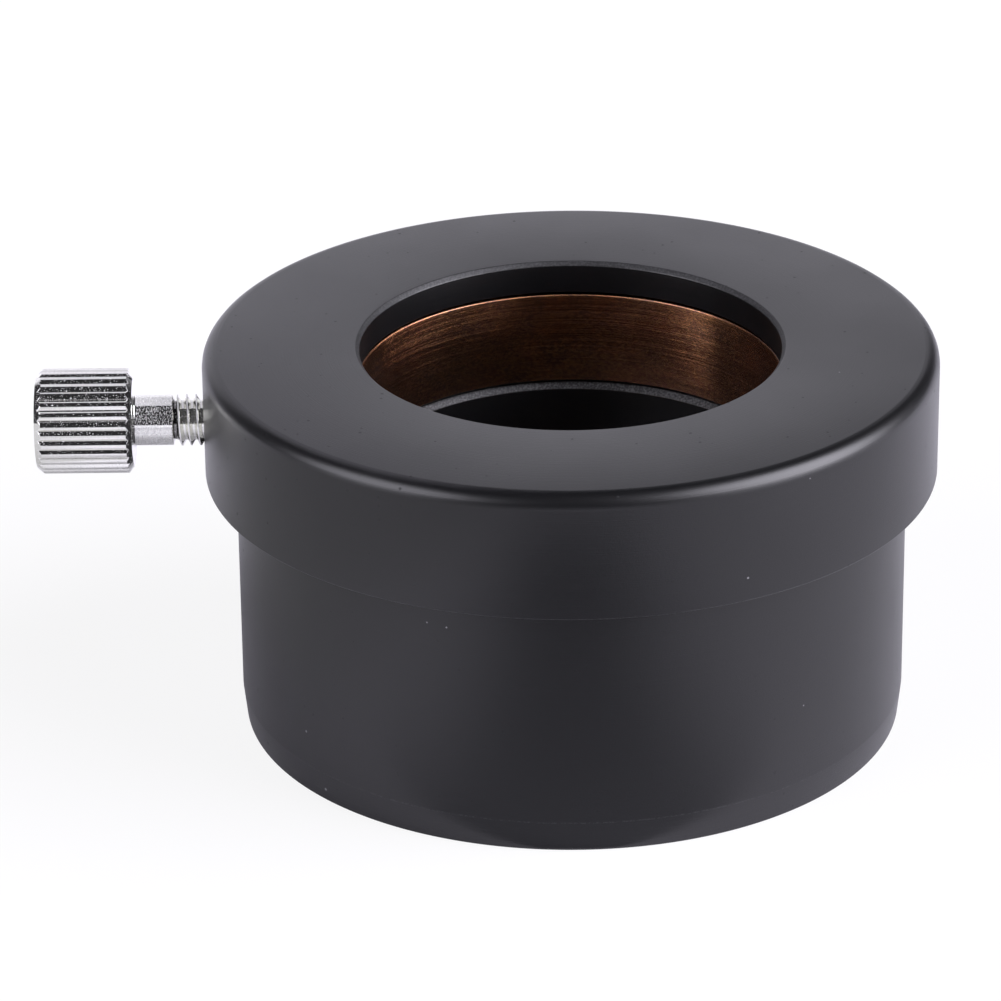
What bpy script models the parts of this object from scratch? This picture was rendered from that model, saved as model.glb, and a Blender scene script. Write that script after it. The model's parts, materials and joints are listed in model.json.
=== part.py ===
"""Eyepiece adapter: a 2 inch barrel bored for a 1.25 inch eyepiece.

Three pieces: the turned body, a split compression ring in a groove of its socket, and a
knurled thumbscrew that pushes on the ring through the flange.

Metres, +Z up. The optical axis is upright. The origin lies at the height of the barrel's
lower end, under the middle of the whole part, so the optical axis stands at x = AXIS_X.
The thumbscrew points along -X.
"""

import math

import bmesh
import bpy

MM = 0.001
MERGE_DISTANCE = 0.001 * MM

# Barrel and flange
BARREL_DIA = 50.8 * MM
BARREL_LENGTH = 20.0 * MM
LEAD_IN_LENGTH = 2.4 * MM
LEAD_IN_DROP = 0.26 * MM
FLANGE_OVERHANG = 2.32 * MM
FLANGE_HEIGHT = 9.7 * MM
FLANGE_TOP_RADIUS = 1.2 * MM
EDGE_BREAK = 0.15 * MM

# Eyepiece socket, from the top face down
SOCKET_DIA = 31.75 * MM
MOUTH_CHAMFER = 0.3 * MM
LIP_THICKNESS = 2.5 * MM
LAND_LENGTH = 5.7 * MM
LAND_CHAMFER = 0.45 * MM

# Filter well, from the barrel's lower end up
THREAD_WALL = 1.8 * MM
THREAD_LENGTH = 6.0 * MM
THREAD_MOUTH_CHAMFER = 0.5 * MM
RELIEF_WIDTH = 0.8 * MM
RELIEF_DEPTH = 0.5 * MM
WELL_WALL = 2.9 * MM
WELL_CORNER_RADIUS = 0.8 * MM

# Compression ring and the room it has in its groove
RING_WIDTH = 7.3 * MM
RING_THICKNESS = 1.0 * MM
RING_RECESS = 0.09 * MM
RING_EDGE_RADIUS = 0.3 * MM
RING_SPLIT = 2.0 * MM
RING_SPLIT_AZIMUTH = 0.0
RING_END_CLEARANCE = 0.25 * MM
RING_BACK_CLEARANCE = 0.33 * MM

# Thumbscrew
HEAD_DIA = 7.92 * MM
HEAD_LENGTH = 7.3 * MM
OUTER_CHAMFER_LENGTH = 0.5 * MM
OUTER_CHAMFER_DROP = 0.42 * MM
INNER_CHAMFER_LENGTH = 0.48 * MM
INNER_CHAMFER_DROP = 0.38 * MM
KNURL_RIDGES = 30
KNURL_DEPTH = 0.19 * MM
KNURL_LAND_SHARE = 0.36
NECK_DIA = 3.8 * MM
NECK_LENGTH = 3.0 * MM
THREAD_DIA = 3.9 * MM
THREAD_CLEARANCE = 0.05 * MM
TIP_CHAMFER = 0.5 * MM
TIP_GAP = 0.3 * MM
HEAD_STANDOFF = 5.3 * MM
SCREW_RISE = 0.4 * MM

# Fineness of round shapes
TURNED_STEPS = 96
SCREW_STEPS = 2 * KNURL_RIDGES
FILLET_STEPS = 4
HOLE_STEPS = 32
CUTTER_OVERSHOOT = 1.0 * MM

# Radii that follow from the sizes above
BARREL_R = BARREL_DIA / 2
FLANGE_R = BARREL_R + FLANGE_OVERHANG
SOCKET_R = SOCKET_DIA / 2
RING_INNER_R = SOCKET_R + RING_RECESS
RING_OUTER_R = RING_INNER_R + RING_THICKNESS
GROOVE_R = RING_OUTER_R + RING_BACK_CLEARANCE
THREAD_BORE_R = BARREL_R - THREAD_WALL
RELIEF_R = THREAD_BORE_R + RELIEF_DEPTH
WELL_R = BARREL_R - WELL_WALL
HEAD_R = HEAD_DIA / 2
HOLE_R = THREAD_DIA / 2 + THREAD_CLEARANCE

# Heights that follow, with the barrel's lower end at zero
TOP_Z = BARREL_LENGTH + FLANGE_HEIGHT
GROOVE_TOP_Z = TOP_Z - LIP_THICKNESS
RING_TOP_Z = GROOVE_TOP_Z - RING_END_CLEARANCE
RING_LOW_Z = RING_TOP_Z - RING_WIDTH
GROOVE_LOW_Z = RING_LOW_Z - RING_END_CLEARANCE
SOCKET_END_Z = GROOVE_LOW_Z - LAND_LENGTH
SCREW_Z = (RING_TOP_Z + RING_LOW_Z) / 2 + SCREW_RISE

# Distances of the thumbscrew from the optical axis, and along itself from its tip
TIP_REACH = RING_OUTER_R + TIP_GAP
HEAD_REACH = FLANGE_R + HEAD_STANDOFF
HEAD_START = HEAD_REACH - TIP_REACH
HEAD_END = HEAD_START + HEAD_LENGTH
AXIS_X = (TIP_REACH + HEAD_END - FLANGE_R) / 2

# Finishes: colour, metallic, roughness
BLACK_ANODISE = ((0.018, 0.018, 0.020), 0.0, 0.42)
BROWNED_BRASS = ((0.20, 0.085, 0.030), 1.0, 0.34)
BRIGHT_CHROME = ((0.80, 0.80, 0.81), 1.0, 0.10)


def clear_scene():
    for thing in list(bpy.data.objects):
        bpy.data.objects.remove(thing, do_unlink=True)
    for group in list(bpy.data.collections):
        bpy.data.collections.remove(group)


def new_collection(name):
    group = bpy.data.collections.new(name)
    bpy.context.scene.collection.children.link(group)
    return group


def new_material(name, finish):
    colour, metallic, roughness = finish
    material = bpy.data.materials.new(name)
    material.use_nodes = True
    shader = material.node_tree.nodes["Principled BSDF"]
    shader.inputs["Base Color"].default_value = (*colour, 1.0)
    shader.inputs["Metallic"].default_value = metallic
    shader.inputs["Roughness"].default_value = roughness
    return material


def arc(centre_r, centre_z, radius, start_deg, end_deg):
    """Points of a round corner in a half section, both ends included."""
    points = []
    for step in range(FILLET_STEPS + 1):
        angle = math.radians(start_deg + (end_deg - start_deg) * step / FILLET_STEPS)
        points.append((centre_r + radius * math.cos(angle), centre_z + radius * math.sin(angle)))
    return points


def turned(name, outline, steps, closed, group):
    """Turn a half section of (radius, height) points about the object's own Z axis."""
    mesh = bpy.data.meshes.new(name)
    last = len(outline) - 1
    edges = [(index, index + 1) for index in range(last)]
    if closed:
        edges.append((last, 0))
    mesh.from_pydata([(radius, 0.0, height) for radius, height in outline], edges, [])
    piece = bpy.data.objects.new(name, mesh)
    group.objects.link(piece)
    screw = piece.modifiers.new("turn", "SCREW")
    screw.axis = "Z"
    screw.angle = math.tau
    screw.steps = steps
    screw.render_steps = steps
    screw.use_smooth_shade = True
    screw.use_merge_vertices = not closed
    screw.merge_threshold = MERGE_DISTANCE
    return piece


def cut(piece, cutter):
    """Take the cutter's shape out of the piece and keep the cutter as a hidden guide."""
    cutter.hide_render = True
    cutter.display_type = "WIRE"
    boolean = piece.modifiers.new(cutter.name, "BOOLEAN")
    boolean.operation = "DIFFERENCE"
    boolean.solver = "EXACT"
    boolean.object = cutter


def adapter_outline():
    """Half section of the body: down the outside, then up through well, socket and groove."""
    outside = [(SOCKET_R + MOUTH_CHAMFER, TOP_Z)]
    outside += arc(FLANGE_R - FLANGE_TOP_RADIUS, TOP_Z - FLANGE_TOP_RADIUS, FLANGE_TOP_RADIUS, 90, 0)
    outside += [
        (FLANGE_R, BARREL_LENGTH + EDGE_BREAK),
        (FLANGE_R - EDGE_BREAK, BARREL_LENGTH),
        (BARREL_R, BARREL_LENGTH),
        (BARREL_R, LEAD_IN_LENGTH),
        (BARREL_R - LEAD_IN_DROP, EDGE_BREAK),
        (BARREL_R - LEAD_IN_DROP - EDGE_BREAK, 0.0),
    ]
    well = [
        (THREAD_BORE_R + THREAD_MOUTH_CHAMFER, 0.0),
        (THREAD_BORE_R, THREAD_MOUTH_CHAMFER),
        (THREAD_BORE_R, THREAD_LENGTH),
        (RELIEF_R, THREAD_LENGTH),
        (RELIEF_R, THREAD_LENGTH + RELIEF_WIDTH),
        (WELL_R, THREAD_LENGTH + RELIEF_WIDTH),
    ]
    well += arc(WELL_R - WELL_CORNER_RADIUS, SOCKET_END_Z - WELL_CORNER_RADIUS, WELL_CORNER_RADIUS, 0, 90)
    socket = [
        (SOCKET_R + MOUTH_CHAMFER, SOCKET_END_Z),
        (SOCKET_R, SOCKET_END_Z + MOUTH_CHAMFER),
        (SOCKET_R, GROOVE_LOW_Z - LAND_CHAMFER),
        (SOCKET_R + LAND_CHAMFER, GROOVE_LOW_Z),
        (GROOVE_R, GROOVE_LOW_Z),
        (GROOVE_R, GROOVE_TOP_Z),
        (SOCKET_R, GROOVE_TOP_Z),
        (SOCKET_R, TOP_Z - MOUTH_CHAMFER),
    ]
    return outside + well + socket


def ring_outline():
    """Half section of the compression ring, with its two inner edges rounded."""
    rounded_r = RING_INNER_R + RING_EDGE_RADIUS
    outline = [
        (RING_OUTER_R - EDGE_BREAK, RING_TOP_Z),
        (RING_OUTER_R, RING_TOP_Z - EDGE_BREAK),
        (RING_OUTER_R, RING_LOW_Z + EDGE_BREAK),
        (RING_OUTER_R - EDGE_BREAK, RING_LOW_Z),
    ]
    outline += arc(rounded_r, RING_LOW_Z + RING_EDGE_RADIUS, RING_EDGE_RADIUS, 270, 180)
    outline += arc(rounded_r, RING_TOP_Z - RING_EDGE_RADIUS, RING_EDGE_RADIUS, 180, 90)
    return outline


def screw_outline():
    """Half section of the thumbscrew before knurling, from its head down to its tip."""
    return [
        (0.0, HEAD_END),
        (HEAD_R - OUTER_CHAMFER_DROP, HEAD_END),
        (HEAD_R, HEAD_END - OUTER_CHAMFER_LENGTH),
        (HEAD_R, HEAD_START + INNER_CHAMFER_LENGTH),
        (HEAD_R - INNER_CHAMFER_DROP, HEAD_START),
        (NECK_DIA / 2, HEAD_START),
        (NECK_DIA / 2, HEAD_START - NECK_LENGTH),
        (THREAD_DIA / 2, HEAD_START - NECK_LENGTH),
        (THREAD_DIA / 2, TIP_CHAMFER),
        (THREAD_DIA / 2 - TIP_CHAMFER, 0.0),
        (0.0, 0.0),
    ]


def make_screw_hole(group):
    """Drill for the tapped hole, from the groove out through the flange."""
    length = FLANGE_R - RING_OUTER_R + CUTTER_OVERSHOOT
    bpy.ops.mesh.primitive_cylinder_add(
        vertices=HOLE_STEPS,
        radius=HOLE_R,
        depth=length,
        location=(AXIS_X - RING_OUTER_R - length / 2, 0.0, SCREW_Z),
        rotation=(0.0, -math.pi / 2, 0.0),
    )
    drill = bpy.context.object
    drill.name = "screw_hole_drill"
    bpy.context.scene.collection.objects.unlink(drill)
    group.objects.link(drill)
    return drill


def make_ring_saw(group):
    """Slot that splits the ring, reaching past its wall on both sides."""
    reach = RING_THICKNESS + 2 * CUTTER_OVERSHOOT
    mesh = bpy.data.meshes.new("ring_saw")
    shape = bmesh.new()
    bmesh.ops.create_cube(shape, size=1.0)
    bmesh.ops.scale(shape, verts=shape.verts, vec=(reach, RING_SPLIT, RING_WIDTH + 2 * CUTTER_OVERSHOOT))
    bmesh.ops.translate(shape, verts=shape.verts, vec=((RING_INNER_R + RING_OUTER_R) / 2, 0.0, 0.0))
    shape.to_mesh(mesh)
    shape.free()
    saw = bpy.data.objects.new("ring_saw", mesh)
    saw.location = (AXIS_X, 0.0, (RING_TOP_Z + RING_LOW_Z) / 2)
    saw.rotation_euler = (0.0, 0.0, RING_SPLIT_AZIMUTH)
    group.objects.link(saw)
    return saw


def add_outline(curve, points):
    spline = curve.splines.new("POLY")
    spline.points.add(len(points) - 1)
    for point, (x, y) in zip(spline.points, points):
        point.co = (x, y, 0.0, 1.0)
    spline.use_cyclic_u = True


def make_knurl_tool(group):
    """A die whose star-shaped opening leaves straight ridges with flat lands on the head.

    The star's points reach past the head's surface, so each ridge keeps a share of the pitch
    as its land between two straight flanks.
    """
    pitch = math.tau / KNURL_RIDGES
    root_r = HEAD_R - KNURL_DEPTH
    crest_r = root_r + KNURL_DEPTH / (1 - KNURL_LAND_SHARE)
    star = []
    rim = []
    for ridge in range(KNURL_RIDGES):
        angle = ridge * pitch
        star.append((crest_r * math.cos(angle), crest_r * math.sin(angle)))
        star.append((root_r * math.cos(angle + pitch / 2), root_r * math.sin(angle + pitch / 2)))
        rim_r = HEAD_R + CUTTER_OVERSHOOT
        rim.append((rim_r * math.cos(angle), rim_r * math.sin(angle)))
    curve = bpy.data.curves.new("knurl_tool", "CURVE")
    curve.dimensions = "2D"
    curve.fill_mode = "BOTH"
    curve.extrude = HEAD_LENGTH / 2 + OUTER_CHAMFER_LENGTH
    add_outline(curve, rim)
    add_outline(curve, star)
    flat = bpy.data.objects.new("knurl_outline", curve)
    group.objects.link(flat)
    bpy.context.view_layer.update()
    evaluated = flat.evaluated_get(bpy.context.evaluated_depsgraph_get())
    mesh = bpy.data.meshes.new_from_object(evaluated)
    bpy.data.objects.remove(flat, do_unlink=True)
    shape = bmesh.new()
    shape.from_mesh(mesh)
    bmesh.ops.remove_doubles(shape, verts=shape.verts, dist=MERGE_DISTANCE)
    bmesh.ops.recalc_face_normals(shape, faces=shape.faces)
    bmesh.ops.translate(shape, verts=shape.verts, vec=(0.0, 0.0, (HEAD_START + HEAD_END) / 2))
    shape.to_mesh(mesh)
    shape.free()
    tool = bpy.data.objects.new("knurl_tool", mesh)
    group.objects.link(tool)
    return tool


def make_adapter_body(group, cutters):
    body = turned("adapter_body", adapter_outline(), TURNED_STEPS, True, group)
    body.location = (AXIS_X, 0.0, 0.0)
    body.data.materials.append(new_material("black_anodise", BLACK_ANODISE))
    cut(body, make_screw_hole(cutters))
    return body


def make_compression_ring(group, cutters):
    ring = turned("compression_ring", ring_outline(), TURNED_STEPS, True, group)
    ring.location = (AXIS_X, 0.0, 0.0)
    ring.data.materials.append(new_material("browned_brass", BROWNED_BRASS))
    cut(ring, make_ring_saw(cutters))
    return ring


def make_thumbscrew(group, cutters):
    """The screw is modelled upright on its tip, then laid along -X in its hole."""
    screw = turned("thumbscrew", screw_outline(), SCREW_STEPS, False, group)
    screw.data.materials.append(new_material("bright_chrome", BRIGHT_CHROME))
    tool = make_knurl_tool(cutters)
    for piece in (screw, tool):
        piece.location = (AXIS_X - TIP_REACH, 0.0, SCREW_Z)
        piece.rotation_euler = (0.0, -math.pi / 2, 0.0)
    cut(screw, tool)
    return screw


def build():
    clear_scene()
    parts = new_collection("eyepiece_adapter")
    cutters = new_collection("cutters")
    make_adapter_body(parts, cutters)
    make_compression_ring(parts, cutters)
    make_thumbscrew(parts, cutters)


build()
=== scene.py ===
# %% [markdown]
# # An eyepiece adapter in black anodise, browned brass and chrome
# The adapter steps a telescope's 2 inch focuser down to a 1.25 inch eyepiece. It has three
# pieces: a turned aluminium body, a split brass ring that grips the eyepiece, and a knurled
# screw that pushes on the ring. Every piece is round, so almost every shape here starts as a
# line of corners that is rounded and then spun.

import json
import math

import bmesh
import bpy
from mathutils import Matrix, Vector

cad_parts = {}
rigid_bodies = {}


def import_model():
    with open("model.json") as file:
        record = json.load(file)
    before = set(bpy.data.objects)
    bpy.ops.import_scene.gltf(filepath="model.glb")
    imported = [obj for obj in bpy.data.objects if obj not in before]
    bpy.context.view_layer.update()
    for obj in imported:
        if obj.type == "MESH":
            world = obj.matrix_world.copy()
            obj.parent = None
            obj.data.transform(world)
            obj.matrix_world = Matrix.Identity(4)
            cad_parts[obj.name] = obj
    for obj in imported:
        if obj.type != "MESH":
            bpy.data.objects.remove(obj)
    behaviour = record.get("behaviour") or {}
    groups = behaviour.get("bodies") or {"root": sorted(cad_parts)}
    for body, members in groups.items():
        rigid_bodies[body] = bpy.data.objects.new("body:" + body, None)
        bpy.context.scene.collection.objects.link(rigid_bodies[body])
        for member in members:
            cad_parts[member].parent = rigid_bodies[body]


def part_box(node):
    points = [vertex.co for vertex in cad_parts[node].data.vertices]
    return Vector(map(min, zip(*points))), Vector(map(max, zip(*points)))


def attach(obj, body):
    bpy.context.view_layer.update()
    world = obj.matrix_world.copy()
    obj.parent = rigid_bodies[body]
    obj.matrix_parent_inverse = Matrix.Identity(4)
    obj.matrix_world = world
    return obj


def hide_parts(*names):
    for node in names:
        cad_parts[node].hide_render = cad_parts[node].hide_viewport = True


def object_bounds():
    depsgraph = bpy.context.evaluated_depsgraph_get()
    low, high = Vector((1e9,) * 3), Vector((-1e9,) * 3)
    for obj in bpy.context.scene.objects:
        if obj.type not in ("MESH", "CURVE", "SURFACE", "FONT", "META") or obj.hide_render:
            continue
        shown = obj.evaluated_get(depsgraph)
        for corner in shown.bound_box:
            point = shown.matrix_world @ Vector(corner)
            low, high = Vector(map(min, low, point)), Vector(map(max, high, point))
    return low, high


MM = 0.001

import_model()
cad_low, cad_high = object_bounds()
print("frame, in mm:", [round(side / MM, 2) for side in cad_high - cad_low])

# %% [markdown]
# ## Sizes that come from the frame
# The solids already say where everything is. The optical axis, the top face and the screw's
# own axis are read from their boxes, so the dressed pieces can't drift from the solids.

# %% Read the places of the three solids
body_low, body_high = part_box("adapter_body")
ring_low, ring_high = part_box("compression_ring")
screw_low, screw_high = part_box("thumbscrew")

AXIS_X = (body_low.x + body_high.x) / 2
FLANGE_R = (body_high.x - body_low.x) / 2
TOP_Z = body_high.z
RING_OUTER_R = (ring_high.y - ring_low.y) / 2
RING_LOW_Z = ring_low.z
RING_TOP_Z = ring_high.z
SCREW_Z = (screw_low.z + screw_high.z) / 2
SCREW_LENGTH = screw_high.x - screw_low.x
TIP_X = screw_high.x
print("optical axis at x", round(AXIS_X / MM, 2), "and screw at height", round(SCREW_Z / MM, 2))

# %% [markdown]
# ## Camera
# The photograph looks down on the adapter by about 25 degrees through a long lens, so the
# ellipses of rim and base are nearly alike. The camera's place was found by matching those
# ellipses. It is set first, because every later choice is judged through it.

# %% Place the camera
FRAME_PX = 1001
FOCAL_PX = 5275.2
SENSOR_MM = 36.0
CAMERA_FROM_TOP = Vector((-5.39, -364.71, 155.81)) * MM
PITCH_DOWN = math.radians(24.842)
ROLL = math.radians(-0.644)

camera_data = bpy.data.cameras.new("camera")
camera_data.sensor_width = SENSOR_MM
camera_data.lens = FOCAL_PX / FRAME_PX * SENSOR_MM
camera_data.clip_start = 10 * MM
camera = bpy.data.objects.new("camera", camera_data)
bpy.context.scene.collection.objects.link(camera)
camera.matrix_world = (
    Matrix.Translation(Vector((AXIS_X, 0.0, TOP_Z)) + CAMERA_FROM_TOP)
    @ Matrix.Rotation(math.pi / 2 - PITCH_DOWN, 4, "X")
    @ Matrix.Rotation(ROLL, 4, "Z")
)
bpy.context.scene.camera = camera
print("lens", round(camera_data.lens, 1), "mm")

# %% [markdown]
# ## A line of corners, rounded and spun
# No machined edge is perfectly sharp, and the thin glints along real edges come from roundings
# of a tenth of a millimetre. So each outline is typed as corners with a rounding each, and a
# vertex bevel turns every corner into a small arc before the line is spun. The bevel also
# returns the new edges. A vertex between two of them lies inside an arc and is marked in an
# attribute, which the finish uses later to paint the fine edges a little brighter: partly edge
# wear, partly a painted highlight. Other marks say where painted shade goes, and where a piece
# is brushed or threaded.

# %% Helpers for turned shapes
ARC_SEGMENTS = 6
MERGE = 0.0005 * MM
SAME_LEVEL = 0.01 * MM
WORN_ROUNDING = 0.5 * MM
# Fine rounded edges are painted a little lighter: partly edge wear, partly painted highlight.
EDGE_WEAR_AND_GLINT = 0.26
# Marks: wear and painted highlight, painted shade in the undercut, brushing, thread.
MARKS = ("wear_and_glint", "undercut_shade", "brushed", "threaded")
SHARP_DEG = 38.0


def new_bmesh():
    """An empty bmesh whose vertices can carry every mark."""
    bm = bmesh.new()
    for mark in MARKS:
        bm.verts.layers.float.new(mark)
    return bm


def mark_verts(bm, mark, low, high, radius_under, value=1.0):
    """Write a value on the vertices of a turned piece between two heights."""
    layer = bm.verts.layers.float[mark]
    for vert in bm.verts:
        if low < vert.co.z < high and vert.co.xy.length < radius_under:
            vert[layer] = value


def rounded_chain(bm, corners, closed=False):
    """Join (radius, height, rounding) corners by edges in the XZ plane and round them."""
    wear_and_glint = bm.verts.layers.float["wear_and_glint"]
    verts = [bm.verts.new((radius, 0.0, height)) for radius, height, _ in corners]
    for first, second in zip(verts, verts[1:]):
        bm.edges.new((first, second))
    if closed:
        bm.edges.new((verts[-1], verts[0]))
    roundings = sorted({rounding for _, _, rounding in corners if rounding > 0})
    for rounding in roundings:
        here = [vert for vert, corner in zip(verts, corners) if corner[2] == rounding]
        made = bmesh.ops.bevel(
            bm, geom=here, offset=rounding, offset_type="OFFSET", segments=ARC_SEGMENTS,
            profile=0.5, affect="VERTICES", material=-1,
        )
        arcs = set(made["edges"])
        for vert in made["verts"]:
            inside_arc = len(arcs.intersection(vert.link_edges)) == 2
            if inside_arc and rounding < WORN_ROUNDING:
                vert[wear_and_glint] = EDGE_WEAR_AND_GLINT


def spin(bm, steps, angle=math.tau):
    """Spin the whole outline round Z, and join start and end after a full turn."""
    bmesh.ops.spin(
        bm, geom=bm.verts[:] + bm.edges[:], cent=(0, 0, 0), axis=(0, 0, 1), dvec=(0, 0, 0),
        angle=angle, steps=steps, use_merge=angle == math.tau, use_duplicate=False,
    )


def open_edges(bm, heights=None):
    """Edges with one face only, such as the rims left by a spin or a cut."""
    found = []
    for edge in bm.edges:
        middle = (edge.verts[0].co + edge.verts[1].co) / 2
        level = heights is None or any(abs(middle.z - height) < SAME_LEVEL for height in heights)
        if len(edge.link_faces) == 1 and level:
            found.append(edge)
    return found


def fill_between_rims(bm, heights):
    """Close the ring-shaped gap between a smaller and a larger rim, seen along the axis."""
    rims = open_edges(bm, heights)
    bmesh.ops.triangle_fill(bm, edges=rims, use_beauty=True, use_dissolve=False, normal=(0, 0, 1))


def object_from(name, bm):
    """Write the bmesh to a mesh and put an object with it in the scene."""
    mesh = bpy.data.meshes.new(name)
    bm.to_mesh(mesh)
    bm.free()
    made = bpy.data.objects.new(name, mesh)
    bpy.context.scene.collection.objects.link(made)
    return made


def finish_piece(name, bm, body, place, sharp_deg=SHARP_DEG):
    """Make the mesh an object in its place, with its faces outwards and its true edges sharp."""
    bmesh.ops.remove_doubles(bm, verts=bm.verts, dist=MERGE)
    bmesh.ops.transform(bm, matrix=place, verts=bm.verts)
    bmesh.ops.recalc_face_normals(bm, faces=bm.faces)
    piece = object_from(name, bm)
    mesh = piece.data
    mesh.shade_smooth()
    mesh.set_sharp_from_angle(angle=math.radians(sharp_deg))
    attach(piece, body)
    loose = sum(1 for edge in mesh.edges if edge.is_loose)
    print(name, "has", len(mesh.polygons), "faces and", loose, "loose edges")
    return piece


# %% [markdown]
# ## Screw threads
# A thread is one tooth carried round and up, and `spin` does this when it is given a step along
# the axis. One turn is spun and the others are copies of it, moved up by a pitch each. The
# tooth's outline is exactly one pitch long, so each turn meets the turn before it, and merging
# the doubles leaves one smooth helical wall. Two plane cuts then trim it to length. The cut
# rims have other vertices than the turned walls beside them, so `bridge_loops` could reach
# across the bore: `triangle_fill` sees both rims from above and fills only between them.

# %% Thread helper
TOOTH = [(0.0, 0.0), (0.0, 0.10), (1.0, 0.44), (1.0, 0.56), (0.0, 0.90), (0.0, 1.0)]


def thread_wall(bm, root_r, crest_r, pitch, low, high, steps, phase=0.0):
    """Add a right-handed helical wall between two heights; its two rims are left open."""
    wall = new_bmesh()
    start = low - 2 * pitch + phase
    verts = [
        wall.verts.new((root_r + (crest_r - root_r) * depth, 0.0, start + share * pitch))
        for depth, share in TOOTH
    ]
    edges = [wall.edges.new(pair) for pair in zip(verts, verts[1:])]
    bmesh.ops.spin(
        wall, geom=verts + edges, cent=(0, 0, 0), axis=(0, 0, 1), dvec=(0, 0, pitch / steps),
        angle=math.tau, steps=steps, use_merge=False, use_duplicate=False,
    )
    one_turn = wall.verts[:] + wall.edges[:] + wall.faces[:]
    for turn in range(1, math.ceil((high - low) / pitch) + 2):
        copied = bmesh.ops.duplicate(wall, geom=one_turn)["geom"]
        moved = [item for item in copied if isinstance(item, bmesh.types.BMVert)]
        bmesh.ops.translate(wall, verts=moved, vec=(0.0, 0.0, pitch * turn))
    bmesh.ops.remove_doubles(wall, verts=wall.verts, dist=MERGE)
    for height, below in ((low, True), (high, False)):
        bmesh.ops.bisect_plane(
            wall, geom=wall.verts[:] + wall.edges[:] + wall.faces[:], dist=MERGE,
            plane_co=(0, 0, height), plane_no=(0, 0, 1), clear_inner=below, clear_outer=not below,
        )
    mesh = bpy.data.meshes.new("thread")
    wall.to_mesh(mesh)
    wall.free()
    bm.from_mesh(mesh)
    bpy.data.meshes.remove(mesh)


# %% [markdown]
# ## The body
# The real body is one turning: a flange, a barrel that enters the focuser, and inside it a
# socket, a groove for the ring, and a well with a filter thread. Its outline is one line of
# corners that runs from the filter thread down, round the outside and over the top, and back
# down the inside. The thread itself closes the gap between the line's two ends.

# %% Body outline
BARREL_R = 25.4 * MM
SHOULDER_Z = 20.0 * MM
LEAD_IN_Z = 2.4 * MM
LEAD_IN_DROP = 0.26 * MM
FLANGE_ROUNDING = 1.2 * MM
EDGE = 0.15 * MM
FINE_EDGE = 0.06 * MM
SOCKET_R = 15.875 * MM
MOUTH_CHAMFER = 0.3 * MM
GROOVE_TOP_Z = RING_TOP_Z + 0.25 * MM
GROOVE_LOW_Z = RING_LOW_Z - 0.25 * MM
GROOVE_R = RING_OUTER_R + 0.33 * MM
LAND_CHAMFER = 0.45 * MM
SOCKET_END_Z = GROOVE_LOW_Z - 5.7 * MM
WELL_R = 22.5 * MM
WELL_CORNER = 0.8 * MM
FILTER_MAJOR_R = 24.0 * MM
FILTER_MINOR_R = 23.6 * MM
FILTER_PITCH = 0.75 * MM
FILTER_TOP_Z = 6.0 * MM
FILTER_MOUTH_Z = 0.5 * MM
RELIEF_R = 24.1 * MM
RELIEF_TOP_Z = 6.8 * MM

BODY_OUTLINE = [
    (RELIEF_R, 0.0, 0.0),
    (BARREL_R - LEAD_IN_DROP, 0.0, EDGE),
    (BARREL_R, LEAD_IN_Z, FINE_EDGE),
    (BARREL_R, SHOULDER_Z, 0.0),
    (FLANGE_R, SHOULDER_Z, EDGE),
    (FLANGE_R, TOP_Z, FLANGE_ROUNDING),
    (SOCKET_R + MOUTH_CHAMFER, TOP_Z, FINE_EDGE),
    (SOCKET_R, TOP_Z - MOUTH_CHAMFER, FINE_EDGE),
    (SOCKET_R, GROOVE_TOP_Z, FINE_EDGE),
    (GROOVE_R, GROOVE_TOP_Z, 0.0),
    (GROOVE_R, GROOVE_LOW_Z, 0.0),
    (SOCKET_R + LAND_CHAMFER, GROOVE_LOW_Z, FINE_EDGE),
    (SOCKET_R, GROOVE_LOW_Z - LAND_CHAMFER, FINE_EDGE),
    (SOCKET_R, SOCKET_END_Z + MOUTH_CHAMFER, FINE_EDGE),
    (SOCKET_R + MOUTH_CHAMFER, SOCKET_END_Z, FINE_EDGE),
    (WELL_R, SOCKET_END_Z, WELL_CORNER),
    (WELL_R, RELIEF_TOP_Z, FINE_EDGE),
    (RELIEF_R, RELIEF_TOP_Z, 0.0),
    (RELIEF_R, FILTER_TOP_Z, 0.0),
]

# %% Turn the body and cut its filter thread
BODY_STEPS = 256
FILTER_STEPS = 128

bm = new_bmesh()
rounded_chain(bm, BODY_OUTLINE)
spin(bm, BODY_STEPS)
thread_wall(
    bm, FILTER_MAJOR_R, FILTER_MINOR_R, FILTER_PITCH, FILTER_MOUTH_Z, FILTER_TOP_Z, FILTER_STEPS
)
fill_between_rims(bm, (0.0, FILTER_MOUTH_Z))
fill_between_rims(bm, (FILTER_TOP_Z,))
land_reach = SOCKET_R + LAND_CHAMFER + MERGE
# The land chamfer under the ring is painted lighter, and both chamfers get light specks: partly wear,
# partly painted highlight.
mark_verts(bm, "wear_and_glint", GROOVE_LOW_Z - LAND_CHAMFER, GROOVE_LOW_Z + MERGE, land_reach, 1.0)
mark_verts(bm, "brushed", GROOVE_LOW_Z - LAND_CHAMFER, GROOVE_LOW_Z + MERGE, land_reach)
mark_verts(bm, "brushed", TOP_Z - MOUTH_CHAMFER, TOP_Z + MERGE, SOCKET_R + MOUTH_CHAMFER)
print("open edges left on the body:", len(open_edges(bm)))
body = finish_piece("adapter_body_turned", bm, "adapter", Matrix.Translation((AXIS_X, 0.0, 0.0)))
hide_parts("adapter_body")

# %% [markdown]
# ## The hole for the thumbscrew
# The tapped hole runs from the groove out through the flange. A drill shape is spun with a
# small flare where it leaves the metal, laid on its side, and taken out with a boolean. The
# result is written back to the mesh, so that no hidden cutter stays in the scene.

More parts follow.
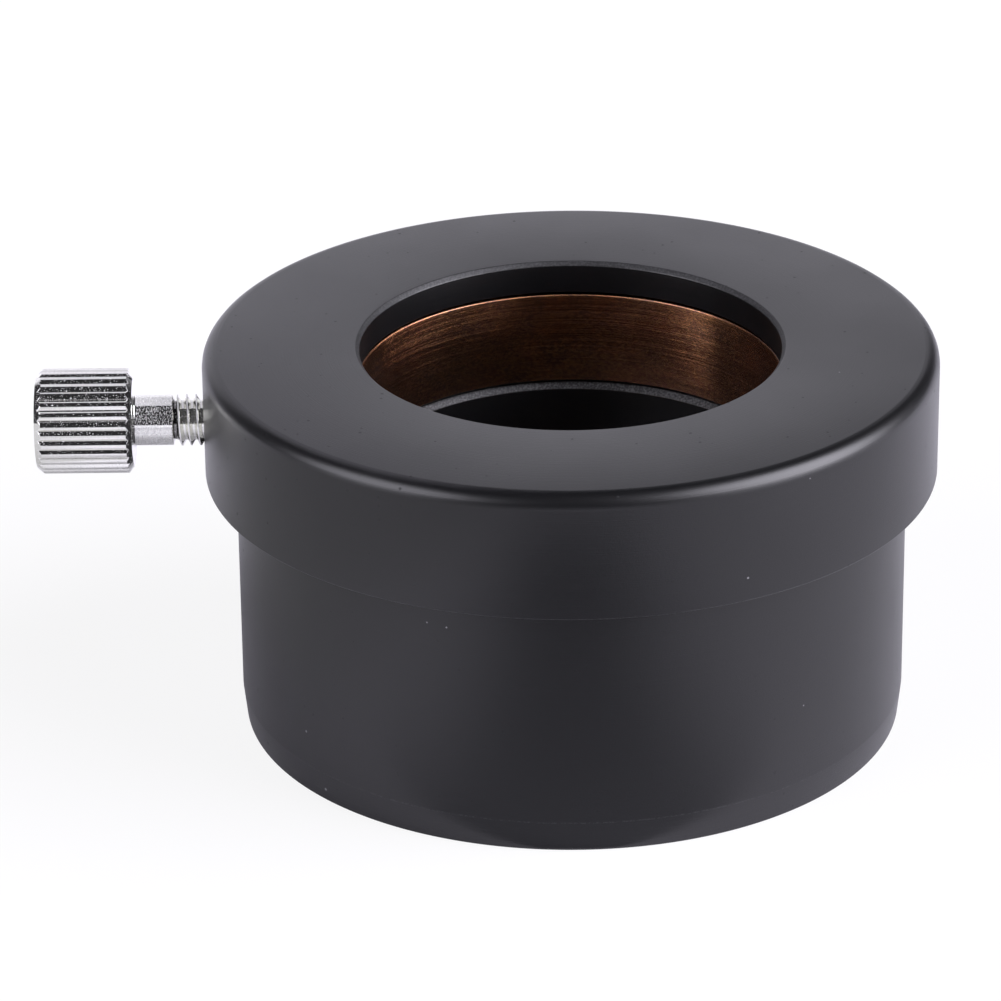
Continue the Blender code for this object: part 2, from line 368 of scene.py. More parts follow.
# %% Drill the flange
HOLE_R = 2.0 * MM
HOLE_FLARE = 0.12 * MM
HOLE_STEPS = 64
DRILL_OVERSHOOT = 1.0 * MM
LIE_ALONG_MINUS_X = Matrix.Rotation(-math.pi / 2, 4, "Y")


def take_out(piece, drill):
    """Take the drill's shape out of the piece's own mesh."""
    cut = piece.modifiers.new("hole", "BOOLEAN")
    cut.operation = "DIFFERENCE"
    cut.solver = "EXACT"
    cut.object = drill
    bpy.context.view_layer.update()
    evaluated = piece.evaluated_get(bpy.context.evaluated_depsgraph_get())
    solid = bpy.data.meshes.new_from_object(evaluated)
    piece.modifiers.clear()
    piece.data = solid
    bpy.data.objects.remove(drill, do_unlink=True)
    print(piece.name, "is drilled and has", len(solid.polygons), "faces")


bm = new_bmesh()
flare_end = FLANGE_R + DRILL_OVERSHOOT
rounded_chain(bm, [
    (0.0, RING_OUTER_R, 0.0),
    (HOLE_R, RING_OUTER_R, 0.0),
    (HOLE_R, FLANGE_R - HOLE_FLARE, 0.0),
    (HOLE_R + HOLE_FLARE + DRILL_OVERSHOOT, flare_end, 0.0),
    (0.0, flare_end, 0.0),
])
spin(bm, HOLE_STEPS)
drill = finish_piece(
    "drill", bm, "adapter", Matrix.Translation((AXIS_X, 0.0, SCREW_Z)) @ LIE_ALONG_MINUS_X
)
take_out(body, drill)

# %% [markdown]
# ## The compression ring
# The ring is a strip of spring brass with softened edges, curled into a circle with a gap.
# Only its section is drawn, and a spin of a little less than a full turn leaves the gap, which
# sits opposite the thumbscrew. The two ends are closed with a face each.

# %% Curl the ring
RING_INNER_R = 15.965 * MM
RING_ROUNDING = 0.13 * MM
RING_SPLIT = 2.0 * MM
RING_STEPS = 240

bm = new_bmesh()
rounded_chain(bm, [
    (RING_OUTER_R, RING_TOP_Z, EDGE),
    (RING_OUTER_R, RING_LOW_Z, EDGE),
    (RING_INNER_R, RING_LOW_Z, RING_ROUNDING),
    (RING_INNER_R, RING_TOP_Z, RING_ROUNDING),
], closed=True)
split_angle = RING_SPLIT / RING_INNER_R
spin(bm, RING_STEPS, math.tau - split_angle)
bmesh.ops.holes_fill(bm, edges=open_edges(bm), sides=0)
turn_split = Matrix.Rotation(split_angle / 2, 4, "Z")
ring = finish_piece("spring_ring", bm, "adapter", Matrix.Translation((AXIS_X, 0.0, 0.0)) @ turn_split)
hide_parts("compression_ring")

# %% [markdown]
# ## The thumbscrew
# The screw is drawn upright on its tip and laid along -X at the end. Head and neck are spun with
# fourteen columns to each ridge of the knurl. The knurl is then pressed in as the real wheel does
# it: each vertex of the head sinks to the depth of the groove at its own angle, but never
# rises, so the ridges run out by themselves on the chamfers.

# %% Turn the head and neck
HEAD_R = 3.96 * MM
HEAD_LENGTH = 7.3 * MM
HEAD_START = SCREW_LENGTH - HEAD_LENGTH
OUTER_CHAMFER_LENGTH = 0.5 * MM
OUTER_CHAMFER_DROP = 0.42 * MM
INNER_CHAMFER_LENGTH = 0.40 * MM
INNER_CHAMFER_DROP = 0.50 * MM
CHAMFER_ROWS = 12
RIDGE_END_GLINT_WITHIN = 0.034 * MM
NECK_R = 1.9 * MM
NECK_LENGTH = 3.0 * MM
NECK_END = HEAD_START - NECK_LENGTH
NECK_FILLET = 0.2 * MM
RUNOUT_R = 1.46 * MM
RUNOUT_SLOPE = 0.1 * MM
RUNOUT_LENGTH = 0.3 * MM
KNURL_RIDGES = 30
COLUMNS_PER_RIDGE = 14
KNURL_DEPTH = 0.19 * MM
KNURL_LAND_SHARE = 0.36
SCREW_SHARP_DEG = 20.0


def row_of_corners(start, end, rows):
    """Corners along a straight line, without its first point."""
    return [
        (
            start[0] + (end[0] - start[0]) * row / rows,
            start[1] + (end[1] - start[1]) * row / rows,
            0.0,
        )
        for row in range(1, rows + 1)
    ]


def knurl_radius(angle):
    """Radius left by the knurling wheel at an angle round the head."""
    share = (angle * KNURL_RIDGES / math.tau) % 1.0
    height = abs(2 * share - 1)
    return HEAD_R - KNURL_DEPTH + KNURL_DEPTH * min(1.0, height / (1 - KNURL_LAND_SHARE))


outer_face = (HEAD_R - OUTER_CHAMFER_DROP, SCREW_LENGTH)
outer_land = (HEAD_R, SCREW_LENGTH - OUTER_CHAMFER_LENGTH)
inner_land = (HEAD_R, HEAD_START + INNER_CHAMFER_LENGTH)
inner_face = (HEAD_R - INNER_CHAMFER_DROP, HEAD_START)
head_outline = [(0.0, SCREW_LENGTH, 0.0), (*outer_face, 0.0)]
head_outline += row_of_corners(outer_face, outer_land, CHAMFER_ROWS)
head_outline += [(*inner_land, 0.0)]
head_outline += row_of_corners(inner_land, inner_face, CHAMFER_ROWS)
head_outline += [
    (NECK_R, HEAD_START, NECK_FILLET),
    (NECK_R, NECK_END, FINE_EDGE),
    (RUNOUT_R, NECK_END - RUNOUT_SLOPE, 0.0),
    (RUNOUT_R, NECK_END - RUNOUT_LENGTH, 0.0),
]

bm = new_bmesh()
rounded_chain(bm, head_outline)
spin(bm, KNURL_RIDGES * COLUMNS_PER_RIDGE)
wear_and_glint = bm.verts.layers.float["wear_and_glint"]
for vert in bm.verts:
    radius = vert.co.xy.length
    limit = knurl_radius(math.atan2(vert.co.y, vert.co.x))
    on_outer = vert.co.z > outer_land[1] + MERGE
    on_inner = HEAD_START + MERGE < vert.co.z < inner_land[1] - MERGE
    # The ends of the ridges on the chamfers are marked for a painted highlight.
    if (on_outer or on_inner) and abs(radius - limit) < RIDGE_END_GLINT_WITHIN:
        vert[wear_and_glint] = 1.0
    if vert.co.z > HEAD_START - MERGE and radius > limit:
        vert.co.xy *= limit / radius

# %% Add the thread and close the tip
SCREW_MAJOR_R = 1.95 * MM
SCREW_MINOR_R = 1.52 * MM
SCREW_PITCH = 0.7 * MM
THREAD_STEPS = 64
THREAD_PHASE = 0.15 * MM
TIP_CHAMFER = 0.5 * MM

thread_top = NECK_END - RUNOUT_LENGTH
thread_wall(
    bm, SCREW_MINOR_R, SCREW_MAJOR_R, SCREW_PITCH, 0.0, thread_top, THREAD_STEPS, THREAD_PHASE
)
fill_between_rims(bm, (thread_top,))
bmesh.ops.holes_fill(bm, edges=open_edges(bm, (0.0,)), sides=0)
for vert in bm.verts:
    radius = vert.co.xy.length
    limit = SCREW_MAJOR_R - TIP_CHAMFER + max(vert.co.z, 0.0)
    if vert.co.z < TIP_CHAMFER and radius > limit:
        vert.co.xy *= limit / radius
mark_verts(bm, "threaded", -MERGE, thread_top - MERGE, SCREW_MAJOR_R + MERGE)
# The undercut behind the thread is marked for painted shade.
mark_verts(bm, "undercut_shade", thread_top - MERGE, NECK_END - MERGE, RUNOUT_R + MERGE)
mark_verts(bm, "brushed", NECK_END - MERGE, HEAD_START - NECK_FILLET + MERGE, NECK_R + MERGE)
print("open edges left on the screw:", len(open_edges(bm)))
lying_at_tip = Matrix.Translation((TIP_X, 0.0, SCREW_Z)) @ LIE_ALONG_MINUS_X
screw = finish_piece("knurled_screw", bm, "screw", lying_at_tip, SCREW_SHARP_DEG)
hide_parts("thumbscrew")

# %% [markdown]
# ## Finishes that more than one material shares
# Every piece came off a lathe, so all carry fine lines round their own axis. The group measures
# how far a point is from that axis and along it, and feeds one number into a noise with one
# dimension: points at the same radius and height get the same value, which draws circles on a
# face and hoops on a wall. A second group scatters dust and small pits.

# %% Shader node groups
HEIGHT_SHARE = 1.37


def new_group(name, inputs, outputs):
    """A shader group with named number or vector sockets, ready for its nodes."""
    group = bpy.data.node_groups.new(name, "ShaderNodeTree")
    for socket, kind, value in inputs:
        made = group.interface.new_socket(name=socket, in_out="INPUT", socket_type=kind)
        if value is not None:
            made.default_value = value
    for socket, kind in outputs:
        group.interface.new_socket(name=socket, in_out="OUTPUT", socket_type=kind)
    return group, group.nodes.new("NodeGroupInput"), group.nodes.new("NodeGroupOutput")


def add(tree, kind, settings=(), **inputs):
    """Add a node, set its options, and fill or link its inputs by name or number."""
    node = tree.nodes.new(kind)
    for key, value in dict(settings).items():
        setattr(node, key, value)
    for key, value in inputs.items():
        socket = node.inputs[int(key[1:])] if key[0] == "i" and key[1:].isdigit() else node.inputs[key]
        if isinstance(value, bpy.types.NodeSocket):
            tree.links.new(value, socket)
        else:
            socket.default_value = value
    return node


def math_node(tree, operation, first, second=0.0):
    return add(tree, "ShaderNodeMath", {"operation": operation}, i0=first, i1=second).outputs[0]


def map_range(tree, value, low, high, to_low=0.0, to_high=1.0):
    node = add(
        tree, "ShaderNodeMapRange", {"clamp": True}, i0=value, i1=low, i2=high, i3=to_low, i4=to_high
    )
    return node.outputs[0]


def noise(tree, vector, scale, detail=2.0):
    return add(
        tree, "ShaderNodeTexNoise", {}, Vector=vector, Scale=scale, Detail=detail
    ).outputs["Fac"]


def axis_distance_and_height(tree, point):
    """How far a point is from the lathe's axis and how far along it."""
    apart = add(tree, "ShaderNodeSeparateXYZ", {}, i0=point).outputs
    flat = add(tree, "ShaderNodeCombineXYZ", {}, i0=apart[0], i1=apart[1])
    reach = add(tree, "ShaderNodeVectorMath", {"operation": "LENGTH"}, i0=flat.outputs[0])
    return reach.outputs["Value"], apart[2]


def make_turning_group():
    """Lines left by the lathe: a height for the bump, and a slow patchiness along each line."""
    group, given, result = new_group(
        "turning_lines",
        [("Point", "NodeSocketVector", None), ("Lines per metre", "NodeSocketFloat", 9000.0)],
        [("Height", "NodeSocketFloat")],
    )
    reach, height = axis_distance_and_height(group, given.outputs["Point"])
    along = math_node(group, "ADD", reach, math_node(group, "MULTIPLY", height, HEIGHT_SHARE))
    fine = add(
        group, "ShaderNodeTexNoise", {"noise_dimensions": "1D"}, W=along,
        Scale=given.outputs["Lines per metre"], Detail=3.0,
    )
    patch = map_range(group, noise(group, given.outputs["Point"], 260.0), 0.3, 0.7, 0.7, 1.0)
    centred = math_node(group, "SUBTRACT", fine.outputs["Fac"], 0.5)
    group.links.new(math_node(group, "MULTIPLY", centred, patch), result.inputs["Height"])
    return group


def make_dust_group():
    """Rare round specks: a cell of a Voronoi pattern holds one only if its own random value is high."""
    group, given, result = new_group(
        "dust_specks",
        [
            ("Point", "NodeSocketVector", None),
            ("Cells per metre", "NodeSocketFloat", 700.0),
            ("Rarity", "NodeSocketFloat", 0.9),
            ("Size", "NodeSocketFloat", 0.05),
        ],
        [("Mask", "NodeSocketFloat")],
    )
    cells = add(
        group, "ShaderNodeTexVoronoi", {}, Vector=given.outputs["Point"],
        Scale=given.outputs["Cells per metre"],
    )
    chance = add(group, "ShaderNodeSeparateColor", {}, i0=cells.outputs["Color"])
    chosen = math_node(group, "GREATER_THAN", chance.outputs[0], given.outputs["Rarity"])
    own_size = math_node(group, "MULTIPLY", given.outputs["Size"], chance.outputs[1])
    near = math_node(group, "LESS_THAN", cells.outputs["Distance"], own_size)
    group.links.new(math_node(group, "MULTIPLY", chosen, near), result.inputs["Mask"])
    return group


TURNING = make_turning_group()
DUST = make_dust_group()


def new_material(name):
    material = bpy.data.materials.new(name)
    material.use_nodes = True
    tree = material.node_tree
    return material, tree, tree.nodes["Principled BSDF"]


def lathe_point(tree, centre, lying=False):
    """Object coordinates moved so that the piece's own axis is Z through the origin."""
    place = add(tree, "ShaderNodeTexCoord").outputs["Object"]
    moved = add(
        tree, "ShaderNodeMapping", {}, Vector=place, Location=[-value for value in centre]
    )
    if not lying:
        return moved.outputs[0]
    turned = add(tree, "ShaderNodeMapping", {}, Vector=moved.outputs[0], Rotation=(0.0, math.pi / 2, 0.0))
    return turned.outputs[0]


def use_group(tree, group, **inputs):
    node = tree.nodes.new("ShaderNodeGroup")
    node.node_tree = group
    for key, value in inputs.items():
        socket = node.inputs[key.replace("_", " ")]
        if isinstance(value, bpy.types.NodeSocket):
            tree.links.new(value, socket)
        else:
            socket.default_value = value
    return node.outputs[0]


def mix_colour(tree, share, first, second):
    node = add(tree, "ShaderNodeMix", {"data_type": "RGBA"}, i0=share)
    colours = [socket for socket in node.inputs if socket.type == "RGBA"]
    for socket, value in zip(colours, (first, second)):
        if isinstance(value, bpy.types.NodeSocket):
            tree.links.new(value, socket)
        else:
            socket.default_value = (*value, 1.0)
    return [socket for socket in node.outputs if socket.type == "RGBA"][0]


def bump(tree, height, distance):
    return add(tree, "ShaderNodeBump", {}, Height=height, Distance=distance).outputs["Normal"]


def mark_value(tree, mark):
    """The value that was written on the vertices, between 0 and 1."""
    return add(tree, "ShaderNodeAttribute", {"attribute_name": mark}).outputs["Fac"]


# %% [markdown]
# ## Black anodise
# Anodised aluminium is a dyed glassy layer on metal. It is nearly black seen straight on and
# greys where it is seen at a slant, which the shader's own Fresnel gives without any paint.

# %% Black anodise
ANODISE_BLACK = (0.0022, 0.0022, 0.0027)
ANODISE_WORN_AND_GLINT = (0.064, 0.064, 0.066)
ANODISE_LINES_PER_METRE = 9000.0
ANODISE_LINE_HEIGHT = 0.008 * MM
ANODISE_ROUGHNESS = (0.33, 0.37)
ANODISE_SPECULAR = 0.56
LIP_GLINT_SHARE = 0.4
MATT_GAIN = 0.22
DUST_GREY = (0.16, 0.16, 0.165)

material, tree, shader = new_material("black_anodise")
point = lathe_point(tree, (AXIS_X, 0.0, 0.0))
lines = use_group(tree, TURNING, Point=point, Lines_per_metre=ANODISE_LINES_PER_METRE)
specks = use_group(tree, DUST, Point=point, Cells_per_metre=650.0, Rarity=0.86, Size=0.075)
pits = use_group(tree, DUST, Point=point, Cells_per_metre=1300.0, Rarity=0.70, Size=0.16)
# Marked edges and chamfers are painted lighter: partly wear, partly painted highlight.
wear_and_glint = mark_value(tree, "wear_and_glint")
brushed = mark_value(tree, "brushed")
patchy = map_range(tree, noise(tree, point, 6000.0, 3.0), 0.44, 0.62)
worn_and_glint = math_node(tree, "MAXIMUM", wear_and_glint, math_node(tree, "MULTIPLY", brushed, LIP_GLINT_SHARE))
rubbed_and_glint = math_node(tree, "MULTIPLY", worn_and_glint, patchy)
colour = mix_colour(tree, rubbed_and_glint, ANODISE_BLACK, ANODISE_WORN_AND_GLINT)
colour = mix_colour(tree, specks, colour, DUST_GREY)
tree.links.new(colour, shader.inputs["Base Color"])
cloud = map_range(tree, noise(tree, point, 90.0, 4.0), 0.35, 0.65, *ANODISE_ROUGHNESS)
matt = math_node(tree, "MULTIPLY", math_node(tree, "MAXIMUM", pits, brushed), MATT_GAIN)
tree.links.new(math_node(tree, "ADD", cloud, matt), shader.inputs["Roughness"])
grain = math_node(tree, "MULTIPLY", noise(tree, point, 7000.0, 2.0), 0.5)
uneven = math_node(tree, "ADD", lines, grain)
tree.links.new(bump(tree, uneven, ANODISE_LINE_HEIGHT), shader.inputs["Normal"])
shader.inputs["Specular IOR Level"].default_value = ANODISE_SPECULAR
body.data.materials.clear()
body.data.materials.append(material)

# %% [markdown]
# ## Browned brass
# The ring is bare brass that has browned: a warm metal, darker where the tarnish is thick and
# golden where it has been rubbed. Noises of three sizes mix four tones, under a thin glassy film
# of tarnish, the shader's coat. Its turning lines are finer than a pixel: they spread each light
# up and down into the tall soft glints of the photo.

# %% Browned brass
BRASS_DARK = (0.13, 0.062, 0.046)
BRASS_BROWN = (0.29, 0.132, 0.066)
BRASS_GOLD = (0.54, 0.29, 0.105)
BRASS_RED = (0.32, 0.110, 0.058)
BRASS_LINES_PER_METRE = 90000.0
BRASS_LINE_HEIGHT = 0.0125 * MM
TARNISHED_ROUGHNESS = 0.27
CLEAN_ROUGHNESS = 0.19
RED_SHARE = 0.45
GOLD_SHARE = 0.40
TARNISH_FILM_WEIGHT = 0.6
TARNISH_FILM_ROUGHNESS = 0.25

material, tree, shader = new_material("browned_brass")
point = lathe_point(tree, (AXIS_X, 0.0, 0.0))
lines = use_group(tree, TURNING, Point=point, Lines_per_metre=BRASS_LINES_PER_METRE)
stretched = add(tree, "ShaderNodeMapping", {}, Vector=point, Scale=(1.0, 1.0, 1.6)).outputs[0]
tarnish = map_range(tree, noise(tree, stretched, 420.0, 6.0), 0.32, 0.70)
grain = map_range(tree, noise(tree, stretched, 3600.0, 3.0), 0.42, 0.62)
blush = map_range(tree, noise(tree, point, 150.0, 2.0), 0.42, 0.60)
colour = mix_colour(tree, tarnish, BRASS_DARK, BRASS_BROWN)
colour = mix_colour(tree, math_node(tree, "MULTIPLY", blush, RED_SHARE), colour, BRASS_RED)
colour = mix_colour(tree, math_node(tree, "MULTIPLY", grain, GOLD_SHARE), colour, BRASS_GOLD)
tree.links.new(colour, shader.inputs["Base Color"])
roughness = map_range(tree, tarnish, 0.0, 1.0, TARNISHED_ROUGHNESS, CLEAN_ROUGHNESS)
tree.links.new(roughness, shader.inputs["Roughness"])
tree.links.new(bump(tree, lines, BRASS_LINE_HEIGHT), shader.inputs["Normal"])
shader.inputs["Metallic"].default_value = 1.0
shader.inputs["Coat Weight"].default_value = TARNISH_FILM_WEIGHT
shader.inputs["Coat Roughness"].default_value = TARNISH_FILM_ROUGHNESS
ring.data.materials.append(material)

# %% [markdown]
# ## Bright chrome
# Chrome has no colour of its own: it shows the studio. Two things break the mirror. The undercut
# behind the thread is painted dark as shade, marked in an attribute. White matt places scatter
# light like frost: rubbed short strokes round the neck and rare specks, and painted highlights
# on the crests and roots of the thread and on the ends of the knurl's ridges. There the metal
# gives way to a white matt surface through the Metallic socket. Crests and roots are found by
# their distance from the screw's axis.

# %% Bright chrome
CHROME_WHITE = (0.85, 0.853, 0.80)
FROST_AND_GLINT_WHITE = (0.96, 0.96, 0.94)
CHROME_LINES_PER_METRE = 7000.0
CHROME_LINE_HEIGHT = 0.004 * MM
CHROME_ROUGHNESS = (0.05, 0.10)
# Painted shade in the undercut: how much of it, and how dark.
UNDERCUT_SHADE_SHARE = 0.8
METAL_UNDER_FROST = 0.2
CREST_FROM = SCREW_MAJOR_R - 0.04 * MM
CREST_FULLY = SCREW_MAJOR_R - 0.01 * MM
ROOT_FULLY = SCREW_MINOR_R + 0.002 * MM
ROOT_UNDER = SCREW_MINOR_R + 0.02 * MM
ROOT_GLINT = 0.25
UNDERCUT_SHADE_DARK = (0.020, 0.018, 0.020)

material, tree, shader = new_material("bright_chrome")
point = lathe_point(tree, (TIP_X, 0.0, SCREW_Z), lying=True)
lines = use_group(tree, TURNING, Point=point, Lines_per_metre=CHROME_LINES_PER_METRE)
haze = map_range(tree, noise(tree, point, 700.0, 3.0), 0.35, 0.65, *CHROME_ROUGHNESS)
tree.links.new(haze, shader.inputs["Roughness"])
tree.links.new(bump(tree, lines, CHROME_LINE_HEIGHT), shader.inputs["Normal"])
undercut_shade = mark_value(tree, "undercut_shade")
brushed = mark_value(tree, "brushed")
wear_and_glint = mark_value(tree, "wear_and_glint")
threaded = mark_value(tree, "threaded")
# The undercut is painted dark: painted shade.
colour = mix_colour(tree, map_range(tree, undercut_shade, 0.35, 0.75, 0.0, UNDERCUT_SHADE_SHARE), CHROME_WHITE, UNDERCUT_SHADE_DARK)
short_strokes = add(tree, "ShaderNodeMapping", {}, Vector=point, Scale=(1.0, 1.0, 2.4)).outputs[0]
strokes = map_range(tree, noise(tree, short_strokes, 6500.0, 2.0), 0.50, 0.59)
flecks = map_range(tree, noise(tree, point, 11000.0, 1.0), 0.63, 0.72)
frost_and_glint = math_node(tree, "MAXIMUM", math_node(tree, "MULTIPLY", strokes, brushed), flecks)
# The knurl's ridge ends turn white matt as a painted highlight.
frost_and_glint = math_node(tree, "MAXIMUM", frost_and_glint, map_range(tree, wear_and_glint, 0.4, 1.0))
reach, _ = axis_distance_and_height(tree, point)
# Crests and roots of the thread turn white matt as painted highlights.
crests = map_range(tree, reach, CREST_FROM, CREST_FULLY)
roots = map_range(tree, reach, ROOT_FULLY, ROOT_UNDER, ROOT_GLINT, 0.0)
rubbed_and_glint = math_node(tree, "MULTIPLY", math_node(tree, "MAXIMUM", crests, roots), threaded)
frost_and_glint = math_node(tree, "MAXIMUM", frost_and_glint, rubbed_and_glint)
tree.links.new(mix_colour(tree, frost_and_glint, colour, FROST_AND_GLINT_WHITE), shader.inputs["Base Color"])
metal = map_range(tree, frost_and_glint, 0.0, 1.0, 1.0, METAL_UNDER_FROST)
tree.links.new(metal, shader.inputs["Metallic"])
screw.data.materials.append(material)

# %% [markdown]
# ## The floor
# The photograph has a plain white ground with hardly a shadow. A pale matt sheet under an even
# light is nearly white by itself. For the camera a large share of plain white is mixed in, so
# the soft shadow of the piece stays but is as faint as on the real white table. In reflections
# a grey is mixed in as painted shade: much at the left, standing in for the shadow that the
# piece casts there from the strong right light, and a little at the right. The light that the
# sheet throws on the piece isn't changed by this.

# %% Floor
FLOOR_RADIUS = 4.0
FLOOR_WHITE = (0.87, 0.862, 0.895)
WHITE_SHARE_SEEN = 0.86
# Grey that reflections see on the floor: painted shade, strongest at the left.
MIRRORED_SHADE_GREY = 0.47
SHADE_SHARE_LEFT = 0.63
SHADE_SHARE_RIGHT = 0.22
GREY_LEFT_FROM = -29.0 * MM
GREY_LEFT_FULLY = -43.0 * MM
GREY_RIGHT_FROM = 22.0 * MM
GREY_RIGHT_FULLY = 50.0 * MM
GREY_BACK_FROM = 12.0 * MM
GREY_BACK_END = 45.0 * MM
FOOT_R = BARREL_R - LEAD_IN_DROP - EDGE

bm = bmesh.new()
bmesh.ops.create_circle(bm, cap_ends=True, radius=FLOOR_RADIUS, segments=64)
floor = object_from("floor", bm)
floor.location = (0.0, 0.0, cad_low.z)


def plain_share_and_level(tree):
    """How much plain light the sheet shows: white to the camera, a painted shade of grey at the sides in
    mirrors.
    """
    place = add(tree, "ShaderNodeTexCoord").outputs["Object"]
    away = add(tree, "ShaderNodeVectorMath", {"operation": "DISTANCE"}, i0=place, i1=(AXIS_X, 0.0, 0.0))
    outside = math_node(tree, "GREATER_THAN", away.outputs["Value"], FOOT_R)
    apart = add(tree, "ShaderNodeSeparateXYZ", {}, i0=place).outputs
    # Painted shade in reflections: grey at the left and a little at the right, fading towards the back.
    at_left = map_range(tree, apart[0], GREY_LEFT_FULLY, GREY_LEFT_FROM, SHADE_SHARE_LEFT, 0.0)
    at_right = map_range(tree, apart[0], GREY_RIGHT_FROM, GREY_RIGHT_FULLY, 0.0, SHADE_SHARE_RIGHT)
    beside = map_range(tree, apart[1], GREY_BACK_FROM, GREY_BACK_END, 1.0, 0.0)
    painted_shade = math_node(tree, "MULTIPLY", math_node(tree, "MAXIMUM", at_left, at_right), beside)
    path = add(tree, "ShaderNodeLightPath").outputs
    reflected = math_node(tree, "MAXIMUM", path["Is Glossy Ray"], path["Is Transmission Ray"])
    in_mirror = math_node(tree, "MULTIPLY", reflected, painted_shade)
    seen = math_node(tree, "MULTIPLY", path["Is Camera Ray"], WHITE_SHARE_SEEN)
    share = math_node(tree, "MAXIMUM", math_node(tree, "MULTIPLY", seen, outside), in_mirror)
    return share, map_range(tree, path["Is Camera Ray"], 0.0, 1.0, MIRRORED_SHADE_GREY, 1.0)


material, tree, shader = new_material("floor_sheet")
shader.inputs["Base Color"].default_value = (*FLOOR_WHITE, 1.0)
shader.inputs["Roughness"].default_value = 1.0
shader.inputs["Specular IOR Level"].default_value = 0.0
share, level = plain_share_and_level(tree)
plain = add(tree, "ShaderNodeEmission", {}, Color=(1.0, 1.0, 1.0, 1.0), Strength=level)
mixed = add(tree, "ShaderNodeMixShader", {}, i0=share, i1=shader.outputs[0], i2=plain.outputs[0])
tree.links.new(mixed.outputs[0], tree.nodes["Material Output"].inputs["Surface"])
floor.data.materials.append(material)

# %% [markdown]
# ## The studio
# A black, slightly glossy thing is drawn by what it mirrors. The highlights on its rounded rim
# tell where the lights stood: a large soft one at the right, a smaller and weaker one at the
# left, and a low glow behind, with darkness in front and overhead. They could be area lamps, but
# as soft round patches of the sky they light the whole floor evenly, so it stays white far back.

# %% Soft lights in the sky
STUDIO_DIM = 0.025
STUDIO_TINT = (1.0, 0.98, 1.085)
SOFT_LIGHTS = [
    # azimuth, elevation, inner radius, outer radius (degrees), strength
    (-14.0, 30.0, 20.0, 36.0, 8.0),
    (207.0, 27.0, 17.0, 29.0, 4.5),
    (101.0, 10.0, 22.0, 36.0, 1.02),
]

world = bpy.data.worlds.new("studio")
bpy.context.scene.world = world
world.use_nodes = True
tree = world.node_tree
towards = add(tree, "ShaderNodeTexCoord").outputs["Generated"]
strength = STUDIO_DIM
for azimuth, elevation, inner, outer, power in SOFT_LIGHTS:
    centre = Vector((1.0, 0.0, 0.0))
    centre.rotate(Matrix.Rotation(-math.radians(elevation), 3, "Y"))
    centre.rotate(Matrix.Rotation(math.radians(azimuth), 3, "Z"))
    nearness = add(tree, "ShaderNodeVectorMath", {"operation": "DOT_PRODUCT"}, i0=towards, i1=centre)
    patch = add(
        tree, "ShaderNodeMapRange", {"interpolation_type": "SMOOTHSTEP"}, i0=nearness.outputs["Value"],
        i1=math.cos(math.radians(outer)), i2=math.cos(math.radians(inner)), i3=0.0, i4=power,
    )
    strength = math_node(tree, "ADD", strength, patch.outputs[0])
tree.links.new(strength, tree.nodes["Background"].inputs["Strength"])
tree.nodes["Background"].inputs["Color"].default_value = (*STUDIO_TINT, 1.0)

# %% [markdown]
# ## Cards
# Photographers put small cards just outside the picture: a dark one before a black thing keeps
# its front black, and a white one above a chrome thing gives it something bright to mirror.
# These are seen only by reflections, so they neither shade the floor nor show from any side.
# So the dark one is painted shade on the floor before the adapter, which only its reflections
# show. It grows lighter towards the adapter and fades to the floor's white at its sides, so no
# edge of it shows.

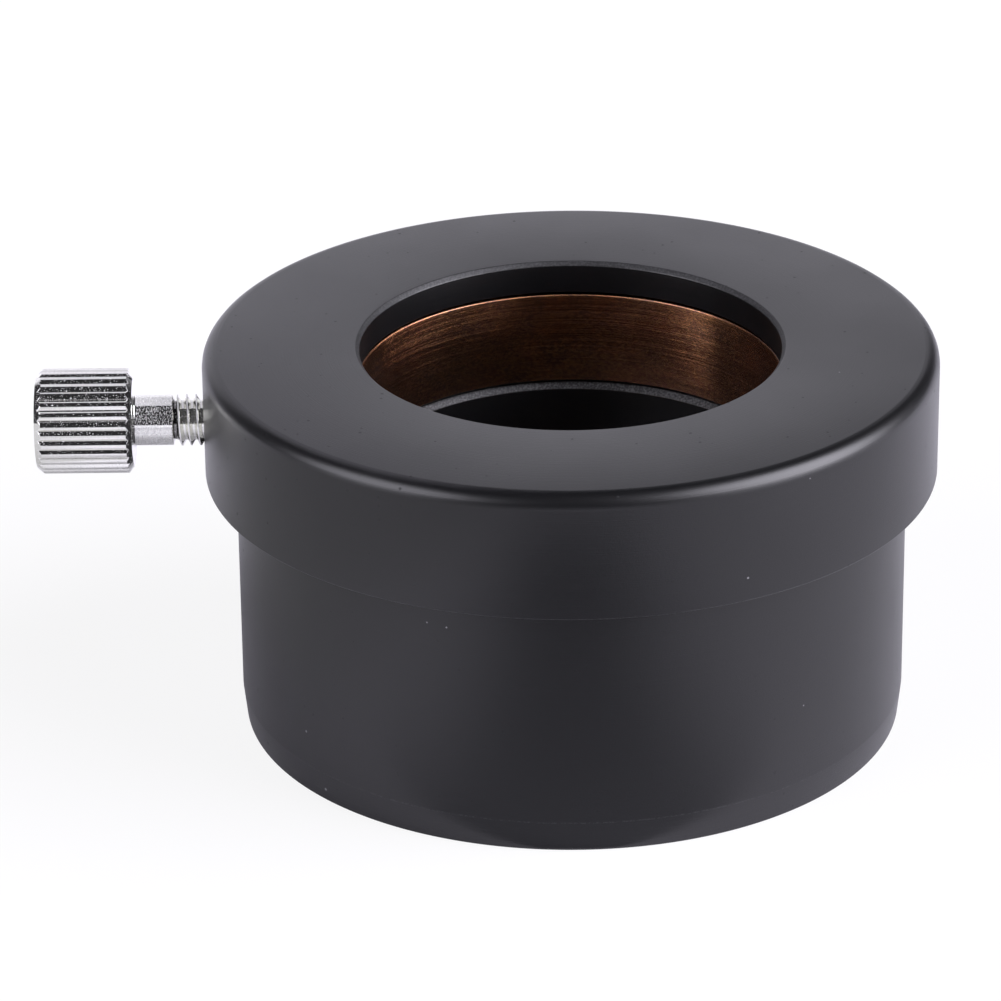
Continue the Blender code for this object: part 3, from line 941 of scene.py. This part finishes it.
# %% Painted shade card in front, white card over the screw
# Colours of the painted shade card: darkest far in front, lighter near the adapter.
SHADE_CARD_DARK = (0.11, 0.11, 0.115)
SHADE_CARD_NEAR = (0.42, 0.42, 0.44)
CARD_WHITE = (0.75, 0.75, 0.75)
SHADE_CARD_SIZE = (76.0 * MM, 94.0 * MM)
SHADE_CARD_PLACE = (AXIS_X, -72.0 * MM, cad_low.z + 0.2 * MM)
DARKEST_Y = -85.0 * MM
NEAREST_Y = -27.0 * MM
FADES_FROM = 12.0 * MM
FADES_FULLY = 38.0 * MM
WHITE_CARD_SIZE = (44.0 * MM, 92.0 * MM)
REFLECTOR_DISTANCE = 80.0 * MM
REFLECTOR_TILT = math.radians(-32.0)


def place_card(name, size, place):
    """A flat matt sheet of a width along X and a length along Y, that only reflections see."""
    bm = bmesh.new()
    bmesh.ops.create_grid(bm, x_segments=1, y_segments=1, size=0.5)
    bmesh.ops.scale(bm, vec=(*size, 1.0), verts=bm.verts)
    bmesh.ops.transform(bm, matrix=place, verts=bm.verts)
    card = object_from(name, bm)
    card.visible_camera = False
    card.visible_diffuse = False
    card.visible_shadow = False
    material, tree, shader = new_material(name)
    shader.inputs["Roughness"].default_value = 1.0
    shader.inputs["Specular IOR Level"].default_value = 0.0
    card.data.materials.append(material)
    return tree, shader


# The painted shade card: dark in front, lighter towards the adapter, fading to the floor's white at its
# sides.
tree, shader = place_card("painted_shade_card", SHADE_CARD_SIZE, Matrix.Translation(SHADE_CARD_PLACE))
place = add(tree, "ShaderNodeTexCoord").outputs["Object"]
apart = add(tree, "ShaderNodeSeparateXYZ", {}, i0=place).outputs
along = map_range(tree, apart[1], DARKEST_Y, NEAREST_Y)
off_centre = math_node(tree, "ABSOLUTE", math_node(tree, "SUBTRACT", apart[0], AXIS_X))
fading = map_range(tree, off_centre, FADES_FROM, FADES_FULLY)
colour = mix_colour(tree, along, SHADE_CARD_DARK, SHADE_CARD_NEAR)
colour = mix_colour(tree, fading, colour, FLOOR_WHITE)
tree.links.new(colour, shader.inputs["Base Color"])

tree, shader = place_card(
    "white_card", WHITE_CARD_SIZE,
    Matrix.Translation((screw_low.x, 0.0, SCREW_Z)) @ Matrix.Rotation(REFLECTOR_TILT, 4, "X")
    @ Matrix.Translation((0.0, 0.0, REFLECTOR_DISTANCE)),
)
shader.inputs["Base Color"].default_value = (*CARD_WHITE, 1.0)

# %% [markdown]
# ## Colours as written
# Blender's own default view softens bright tones, so a white floor would come out grey. The
# Standard view shows each colour as it is written, and the other view settings stay as they are.

# %% Colour management
bpy.context.scene.view_settings.view_transform = "Standard"
